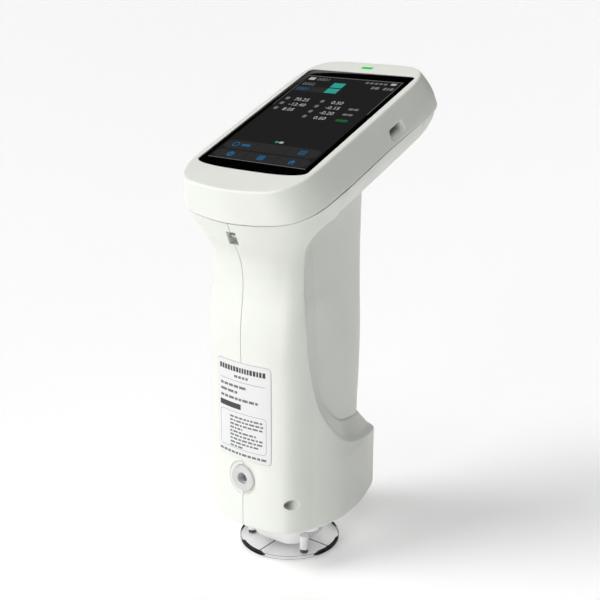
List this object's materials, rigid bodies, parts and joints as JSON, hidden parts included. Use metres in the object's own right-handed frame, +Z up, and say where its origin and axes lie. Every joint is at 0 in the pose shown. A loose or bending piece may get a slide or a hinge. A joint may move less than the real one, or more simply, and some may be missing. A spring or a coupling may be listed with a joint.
{
  "type": "handheld color spectrophotometer",
  "caption": "Handheld colour measuring instrument with a tilted touch-screen head, inset grip, rear trigger, round optical port and a clear locating plate under the nose.",
  "frame": {"origin": "centre of the whole instrument's footprint box, on the underside of the locating plate", "axes": "+Z up along the grip, -Y towards the label side, +X towards the charging socket"},
  "size_m": [0.0706, 0.1124, 0.2043],
  "materials": {
    "housing": "fine satin texture",
    "cover_glass": "polished, back-printed black",
    "display": "smooth",
    "circuit_board": "solder mask",
    "light_pipe": "clear green",
    "steel": "bright",
    "screw_steel": "blackened",
    "black_plastic": "fine matte",
    "label": "satin silver film",
    "insert_metal": "turned",
    "nose_plastic": "satin",
    "clear_acrylic": "polished clear",
    "diffuse_white": "chalky matte",
    "optical_glass": "polished, coated",
    "grating": "fine ruled mirror",
    "battery_wrap": "heat-shrink film",
    "button_plastic": "satin"
  },
  "bodies": {
    "housing": {"left_shell": "housing", "right_shell": "housing", "head_end_cap": "housing", "top_cover": "housing", "touch_glass": "cover_glass", "lcd_module": "display", "display_board": "circuit_board", "status_light_pipe": "light_pipe", "usb_socket_shell": "steel", "usb_socket_tongue": "black_plastic", "rating_label": "label", "stand_insert": "insert_metal", "lanyard_bar": "steel", "case_screw_lower": "screw_steel", "base_plate": "nose_plastic", "nose_housing": "nose_plastic", "aperture_ring": "black_plastic", "locating_plate": "clear_acrylic", "sphere_lower": "diffuse_white", "sphere_upper": "diffuse_white", "lamp_board": "circuit_board", "lens_barrel": "black_plastic", "objective_lens": "optical_glass", "spectrometer_body": "black_plastic", "spectrometer_cover": "black_plastic", "concave_grating": "grating", "line_sensor_board": "circuit_board", "main_board": "circuit_board", "battery": "battery_wrap", "buzzer": "black_plastic", "button_spring": "steel", "switch_board": "circuit_board", "head_screw_1": "screw_steel", "head_screw_2": "screw_steel", "head_screw_3": "screw_steel", "head_screw_4": "screw_steel", "plate_screw_1": "steel", "plate_screw_2": "steel", "plate_screw_3": "steel"},
    "trigger": {"measure_button": "button_plastic"}
  },
  "joints": [
    {"name": "measure_button_press", "type": "slide", "parent": "housing", "child": "trigger", "axis": [0, -1, 0], "range_m": [0, 0.002], "stiffness_N_per_m": 600, "deforming": ["button_spring"]}
  ]
}
